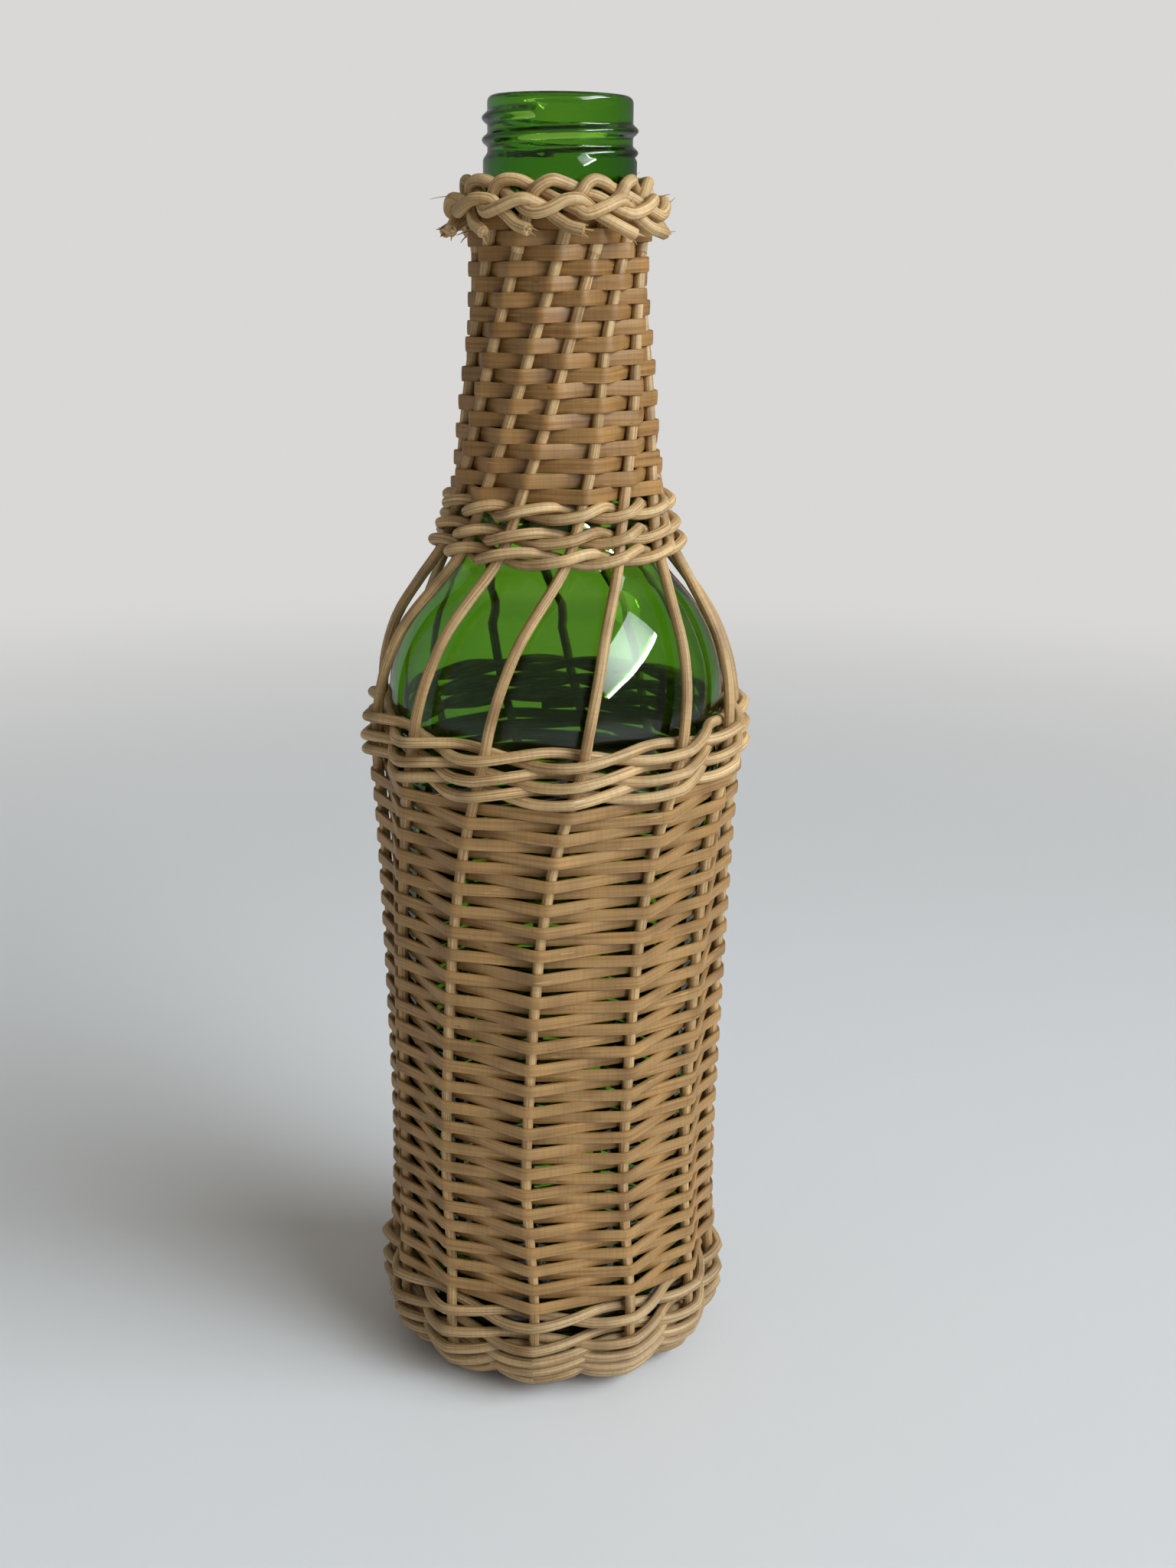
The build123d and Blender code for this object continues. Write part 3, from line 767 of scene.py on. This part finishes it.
# first: the stake that it starts at. lean: its roll between two stakes. corner: how far before and
# after a stake it bends. stand: its distance from a stake that it passes outside.
BODY_WEAVE = dict(climb=BODY_CLIMB, first=7, seed=3, lean=-6, corner=1.6, stand=0.22)
NECK_WEAVE = dict(climb=NECK_CLIMB, first=6, seed=8, lean=0, corner=1.4, stand=0.30)
# Behind a stake the bend is this much longer. The bends have this many steps outside and behind.
BEHIND_SHARE, OUTSIDE_STEPS, BEHIND_STEPS = 1.6, 4, 3
# By how much the cane's height and roll vary
CANE_SCATTER, CANE_ROLL = 0.2, 2


def weave_run(rows, width, thickness, climb, first, seed, lean, corner, stand):
    """One long flat cane, in and out of the stakes, rising as it goes round."""
    chance = random.Random(seed)
    crossings = rows * STAKES
    stake_r, t = settings("cane").stake / 2 / MM, thickness / MM
    nodes = []
    for k in range(-1, crossings + 1):
        z = climb(k / crossings)
        z += row_rise(stake_angle(k + first, z), z) + chance.uniform(-CANE_SCATTER, CANE_SCATTER)
        out = k % 2 == 0
        r = STAKE_RADIUS(z) + (stake_r + t / 2 + stand if out else -(stake_r + t / 2))
        nodes.append((around(r, stake_angle(k + first, z), z), out))
    points, rolls = [], []
    for (before, _), (here, out), (after, _) in zip(nodes, nodes[1:], nodes[2:]):
        d = (corner if out else corner * BEHIND_SHARE) * MM
        a = here + (before - here).normalized() * d
        b = here + (after - here).normalized() * d
        steps = OUTSIDE_STEPS if out else BEHIND_STEPS
        for k in range(steps + 1):
            s = k / steps
            points.append(a * (1 - s) ** 2 + here * 2 * s * (1 - s) + b * s * s)
            rolls.append(math.radians(chance.uniform(-CANE_ROLL, CANE_ROLL)))
        points.append(b.lerp(after, 0.5))
        rolls.append(math.radians(lean + chance.uniform(-CANE_ROLL, CANE_ROLL)))
    return dict(points=points, facing=[outward(p) for p in points], rolls=rolls,
                section=cane_section(width, thickness), shift=seed)


class WICKER_OT_cane(bpy.types.Operator):
    """Weaves the flat cane round the body and the neck"""
    bl_idname = "wicker.cane"
    bl_label = "Flat Cane"

    def execute(self, context):
        cane, weave = settings("cane"), settings("weave")
        for name, node, rows, width, layout in (
                ("body_cane", "body_weave", weave.body_rows, cane.body_width, BODY_WEAVE),
                ("neck_cane", "neck_weave", weave.neck_rows, cane.neck_width, NECK_WEAVE)):
            run = weave_run(rows, width, cane.thickness, **layout)
            rattan_piece(name, [run], "flat_cane", "flat_cane", node)
        return {"FINISHED"}


# Twined rows (mm and degrees)

# Radius of the stakes' axis, height, and tilt: 0 where a row's outer side faces level, as on the
# wall, and -90 where it faces down, as under the base
FOOT_ROWS = [(43.7, 23.6, 0), (43.75, 17.2, 0), (43.6, 13.9, -10), (42.9, 11.4, -22), (40.8, 8.0, -41)]
BASE_ROUNDS = [(36.6, 5.2, -66), (32.2, 4.1, -88), (27.6, 4.05, -90), (23.0, 4.05, -90),
               (18.4, 4.05, -90)]
RIM_ROWS = [(46.3, 174.7, 2), (46.4, 169.8, 0), (46.1, 165.6, 0)]
NECK_ROWS = [(25.6, 229.6, 6), (27.1, 223.7, 12), (28.9, 219.1, 20)]
# Piece, CAD node, rows, how far each strand goes up or down where the two cross, and how far down
# outside a stake and up inside it
TWINED_ROWS = [("foot_row", "foot_pairing", FOOT_ROWS, 1.0, 0.5),
               ("rim_row", "rim_pairing", RIM_ROWS, 1.35, 0.55),
               ("neck_row", "neck_pairing", NECK_ROWS, 1.4, 0.2)]
# The same for the rounds of the base, and the diameter of their strands
BASE_CROSS, BASE_LIFT, BASE_STRAND = 1.35, 0.0, 2.5
# How much of the way from a circle to a straight line a row goes between two stakes
ROW_POLYGON, BASE_POLYGON = 0.85, 0.3
# How much further each stake's foot curls under (degrees)
TUCK = [0, 3, 6, 2, 8, 3, 5, 9, 2, 6, 4, 9, 17]
# The tilt at which the curl is full, and the one from which there is none
FULL_CURL_TILT, NO_CURL_TILT = -30, -60
# How far a tilted row bulges between two stakes at most, and for each degree of its tilt
BULGE, BULGE_PER_DEGREE = 0.9, 0.05
# Steps from stake to stake, by how much a strand strays from its way, and its gap to a stake
TWINE_STEPS, TWINE_SCATTER, TWINE_GAP = 12, 0.15, 0.05
# The way in and out is a soft wave mixed with a sharper one of a lower power
SOFT_SHARE, SHARP_SHARE, SHARP_POWER = 0.8, 0.2, 0.6
# The rows' seeds count up from here. Grain for each seed (metres), and stray fibres on a row.
FIRST_SEED, SEED_GRAIN, ROW_FIBRES = 20, 1.7, 5


def twined_runs(radius, z, tilt, seed, strand, cross, lift, polygon):
    """Two strands that pass each other between the stakes, as one line that goes round twice."""
    chance = random.Random(seed)
    reach = (settings("cane").stake + strand) / 2 / MM
    curl = min(1, tilt / FULL_CURL_TILT) if NO_CURL_TILT < tilt < 0 else 0
    bulge = min(BULGE, -tilt * BULGE_PER_DEGREE) if tilt < 0 else 0
    wobble = [(chance.uniform(-TWINE_SCATTER, TWINE_SCATTER),
               chance.uniform(-TWINE_SCATTER, TWINE_SCATTER)) for _ in range(2 * STAKES)]
    level = min(max(z, LAYOUT_LOW), LAYOUT_HIGH)
    half = math.radians(STEP / 2)
    c0, s0 = math.cos(math.radians(tilt)), math.sin(math.radians(tilt))
    points, facing = [], []
    for i in range(2 * STAKES * TWINE_STEPS):
        u = i / TWINE_STEPS
        k, f = int(u), u - int(u)
        a0, a1 = (stake_angle(j, level + row_rise(stake_angle(j, level), level)) for j in (k, k + 1))
        angle = a0 + ((a1 - a0) % 360) * f
        ease = f * f * (3 - 2 * f)
        tuck = (TUCK[k % STAKES] * (1 - ease) + TUCK[(k + 1) % STAKES] * ease) * curl
        c, s = math.cos(math.radians(tilt - tuck)), math.sin(math.radians(tilt - tuck))
        straight = math.cos(half) / math.cos(half * (2 * f - 1))
        rise = row_rise(angle, z)
        base = radius * (1 + polygon * (straight - 1)) + HEEL_BEND * (c - c0)
        base += STAKE_RADIUS(level + rise) - STAKE_RADIUS(level) + bulge * math.sin(math.pi * f) ** 2
        height = z + HEEL_BEND * (s - s0) + rise
        swing = math.cos(math.pi * u)
        swing = SOFT_SHARE * swing + SHARP_SHARE * math.copysign(abs(swing) ** SHARP_POWER, swing)
        w0, w1 = wobble[k % (2 * STAKES)], wobble[(k + 1) % (2 * STAKES)]
        wr, wz = w0[0] * (1 - f) + w1[0] * f, w0[1] * (1 - f) + w1[1] * f
        out = (reach + TWINE_GAP) * swing + wr
        up = cross * math.sin(math.pi * u) - lift * math.cos(math.pi * u) + wz
        points.append(around(base + out * c - up * s, angle, height + out * s + up * c))
        facing.append(around(METRE * c, angle, METRE * s).normalized())
    row = dict(points=points, facing=facing, section=round_section(strand, ROUND_SIDES), closed=True,
               shift=seed * SEED_GRAIN)
    fibres = ROW_FIBRES if tilt >= 0 else 0
    return [row] + stray_fibres(random.Random(seed), points, facing, strand, fibres)


class WICKER_OT_twining(bpy.types.Operator):
    """Twines the rows of the foot, the rim and the neck, and the rounds of the base"""
    bl_idname = "wicker.twining"
    bl_label = "Twined Rows"

    def execute(self, context):
        strand = settings("cane").strand
        seed = FIRST_SEED
        for group, node, rows, cross, lift in TWINED_ROWS:
            for number, row in enumerate(rows, 1):
                seed += 1
                runs = twined_runs(*row, seed, strand, cross, lift, ROW_POLYGON)
                rattan_piece(f"{group}_{number}", runs, "round_core", "round_core",
                             f"{node}_{number}")
        runs = []
        for row in BASE_ROUNDS:
            seed += 1
            runs += twined_runs(*row, seed, BASE_STRAND * MM, BASE_CROSS, BASE_LIFT, BASE_POLYGON)
        rattan_piece("base_rounds", runs, "round_core", "round_core", "woven_base")
        return {"FINISHED"}


# Base sticks (mm)

# Space between two sticks, and what keeps their ends inside the round that they fill
STICK_GAP, STICK_EDGE, STICK_END = 0.2, 1.35, 0.05


class WICKER_OT_sticks(bpy.types.Operator):
    """Lays the crossed sticks in the middle of the base"""
    bl_idname = "wicker.sticks"
    bl_label = "Base Sticks"

    def execute(self, context):
        stake = settings("cane").stake
        section = round_section(stake, ROUND_SIDES)
        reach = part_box("base_sticks")[1].x / MM
        pitch = stake / MM + STICK_GAP
        runs = []
        for layer in range(2):
            z = FLAT_Z + (layer - 0.5) * pitch
            for i in (-1, 0, 1):
                half = math.sqrt(reach ** 2 - (abs(i * pitch) + STICK_EDGE) ** 2) - STICK_END
                line = [Vector((half * s, i * pitch, z)) * MM for s in (-1, -0.5, 0, 0.5, 1)]
                if layer:
                    line = [Vector((-p.y, p.x, p.z)) for p in line]
                runs.append(dict(points=line, facing=[Vector((0, 0, 1))] * len(line),
                                 section=section, shift=3 * layer + i))
        rattan_piece("crossed_sticks", runs, "round_core", "round_core", "base_sticks")
        return {"FINISHED"}


# The stage (metres and degrees)

# The floor is flat at these radii, then curves up round a middle into a wall
FLOOR_FLAT, FLOOR_STEPS = (0, 0.2, 0.5, 0.9, 1.4), 96
WALL_MIDDLE, WALL_ROUND, WALL_TOP = (1.7, 0.9), 0.9, (2.6, 2.7)
FLOOR_ROUGHNESS = 0.55
# The backdrop glows for the camera and through glass: its colour, and the radii that it grows between
GLOW_COLOUR, GLOW_FROM, GLOW_TO = (0.69, 0.685, 0.67, 1), 0.35, 1.15
SKY_COLOUR = (1.0, 0.93, 0.81, 1)
# Where the window light aims, the way to it, its distance, its turn about that way, and its spread
WINDOW_AIM, WINDOW_WAY, WINDOW_FAR = Vector((0, 0, 0.17)), Vector((0.742, -0.429, 0.515)), 2.0
WINDOW_TURN, WINDOW_SPREAD = math.radians(-65), math.radians(80)
# The second lamp shows in gloss alone, as the bright edge of the window in the glass. middle: across,
# along and back from the aim's line, before the turn. share: of the key light's power.
LAMPS = {
    "window": dict(size=(0.74, 2.18), middle=(-0.144, 0.040, 0), share=1.0,
                   colour=(0.88, 0.95, 1.0), spread=WINDOW_SPREAD, lights_all=True),
    "window_edge": dict(size=(0.088, 2.18), middle=(0.008, -0.280, -0.016), share=22.0 / 13.0,
                        colour=(0.95, 0.98, 1.0), spread=math.pi, lights_all=False),
}
# The camera: height of the picture and focal length in its pixels, height of the sensor (mm), and
# the nearest that it sees
PICTURE_HEIGHT, FOCAL, SENSOR, CAMERA_NEAR = 2048, 2400, 36, 0.01
CAMERA_AT, CAMERA_YAW, CAMERA_PITCH, CAMERA_ROLL = Vector((0, -0.459, 0.292)), 1.05, 16.53, 0.7


def floor_material(colour):
    """A pale floor that turns into a softly glowing backdrop with the distance from the middle."""
    material, tree, shader = node_material("pale_floor")
    link = tree.links.new
    shader.inputs["Base Color"].default_value = (*colour, 1)
    shader.inputs["Roughness"].default_value = FLOOR_ROUGHNESS
    flat = add(tree, "VectorMath", operation="MULTIPLY")
    flat.inputs[1].default_value = (1, 1, 0)
    link(add(tree, "TexCoord").outputs["Object"], flat.inputs[0])
    away = add(tree, "VectorMath", operation="LENGTH")
    link(flat.outputs["Vector"], away.inputs[0])
    wall = add(tree, "MapRange", interpolation_type="SMOOTHSTEP",
               in_From_Min=GLOW_FROM, in_From_Max=GLOW_TO)
    link(away.outputs["Value"], wall.inputs["Value"])
    path = add(tree, "LightPath")
    seen = add(tree, "Math", operation="MAXIMUM")
    link(path.outputs["Is Camera Ray"], seen.inputs[0])
    link(path.outputs["Is Transmission Ray"], seen.inputs[1])
    share = add(tree, "Math", operation="MULTIPLY")
    link(seen.outputs["Value"], share.inputs[0])
    link(wall.outputs["Result"], share.inputs[1])
    glow = add(tree, "Emission", in_Color=GLOW_COLOUR)
    blend = add(tree, "MixShader")
    link(share.outputs["Value"], blend.inputs["Fac"])
    link(shader.outputs["BSDF"], blend.inputs[1])
    link(glow.outputs["Emission"], blend.inputs[2])
    link(blend.outputs["Shader"], tree.nodes["Material Output"].inputs["Surface"])
    return material


def lay_floor(colour):
    """The floor and backdrop, one bowl round the bottle."""
    outline = [(x, 0) for x in FLOOR_FLAT]
    outline += arc_points(*WALL_MIDDLE, WALL_ROUND, -90, 0, 12)
    outline += [WALL_TOP]
    floor = spun("floor", [(x, 0, z) for x, z in outline], FLOOR_STEPS, inside=True)
    bpy.ops.object.shade_smooth()
    floor.data.materials.append(floor_material(colour))


def light_sky(strength):
    """Even light from all round."""
    world = bpy.data.worlds.new("studio")
    world.use_nodes = True
    background = world.node_tree.nodes["Background"]
    background.inputs["Color"].default_value = SKY_COLOUR
    background.inputs["Strength"].default_value = strength
    bpy.context.scene.world = world


def hang_lamps(key_power):
    """The window light and its bright edge."""
    facing = WINDOW_WAY.to_track_quat("Z", "Y")
    for name, lamp in LAMPS.items():
        panel = bpy.data.lights.new(name, "AREA")
        panel.shape = "RECTANGLE"
        panel.size, panel.size_y = lamp["size"]
        panel.energy = key_power * lamp["share"]
        panel.color = lamp["colour"]
        panel.spread = lamp["spread"]
        obj = new_object(name, panel)
        obj.location = (WINDOW_AIM + WINDOW_WAY.normalized() * WINDOW_FAR
                        + facing @ Vector(lamp["middle"]))
        obj.rotation_mode = "QUATERNION"
        obj.rotation_quaternion = facing @ Quaternion((0, 0, 1), WINDOW_TURN)
        obj.visible_camera = False
        obj.visible_diffuse = lamp["lights_all"]


def set_camera():
    """The camera of the picture, turned about its own axes."""
    camera = new_object("camera", bpy.data.cameras.new("camera"))
    camera.data.lens = FOCAL / PICTURE_HEIGHT * SENSOR
    camera.data.clip_start = CAMERA_NEAR
    yaw, pitch, roll = (math.radians(a) for a in (CAMERA_YAW, CAMERA_PITCH, CAMERA_ROLL))
    right = Vector((math.cos(yaw), -math.sin(yaw), 0))
    ahead = Vector((math.sin(yaw), math.cos(yaw), 0))
    forward = ahead * math.cos(pitch) - Vector((0, 0, math.sin(pitch)))
    up = ahead * math.sin(pitch) + Vector((0, 0, math.cos(pitch)))
    right, up = (right * math.cos(roll) + up * math.sin(roll),
                 up * math.cos(roll) - right * math.sin(roll))
    turned = Matrix((right, up, -forward)).transposed()
    camera.matrix_world = Matrix.LocRotScale(CAMERA_AT, turned, None)
    bpy.context.scene.camera = camera


class WICKER_OT_stage(bpy.types.Operator):
    """Floor, backdrop, lights and camera"""
    bl_idname = "wicker.stage"
    bl_label = "Stage"

    def execute(self, context):
        values = settings("stage")
        lay_floor(values.floor_colour)
        light_sky(values.sky)
        hang_lamps(values.key_power)
        set_camera()
        context.scene.view_settings.view_transform = "Standard"
        return {"FINISHED"}


# Panel, registration and the run itself

class WICKER_PT_panel(bpy.types.Panel):
    """The steps that make the bottle"""
    bl_label = "Wicker Bottle"
    bl_idname = "WICKER_PT_panel"
    bl_space_type = "VIEW_3D"
    bl_region_type = "UI"
    bl_category = "Wicker Bottle"

    def draw(self, context):
        for operator in OPERATORS:
            self.layout.operator(operator.bl_idname)
        for name in GROUPS:
            group = settings(name)
            for key in group.bl_rna.properties.keys():
                if key not in ("rna_type", "name"):
                    self.layout.prop(group, key)


GROUPS = {"glass": GlassSettings, "cane": CaneSettings, "weave": WeaveSettings, "stage": StageSettings}
OPERATORS = (WICKER_OT_stage, WICKER_OT_glass, WICKER_OT_stakes, WICKER_OT_cane, WICKER_OT_twining,
             WICKER_OT_sticks)


def register():
    for cls in (*GROUPS.values(), *OPERATORS, WICKER_PT_panel):
        bpy.utils.register_class(cls)
    for name, cls in GROUPS.items():
        setattr(bpy.types.Scene, "wicker_" + name, PointerProperty(type=cls))


def unregister():
    for name in GROUPS:
        delattr(bpy.types.Scene, "wicker_" + name)
    for cls in reversed((*GROUPS.values(), *OPERATORS, WICKER_PT_panel)):
        bpy.utils.unregister_class(cls)


def main():
    register()
    bpy.ops.wicker.stage()
    bpy.ops.wicker.glass()
    bpy.ops.wicker.stakes()
    bpy.ops.wicker.cane()
    bpy.ops.wicker.twining()
    bpy.ops.wicker.sticks()


if __name__ == "__main__":
    main()
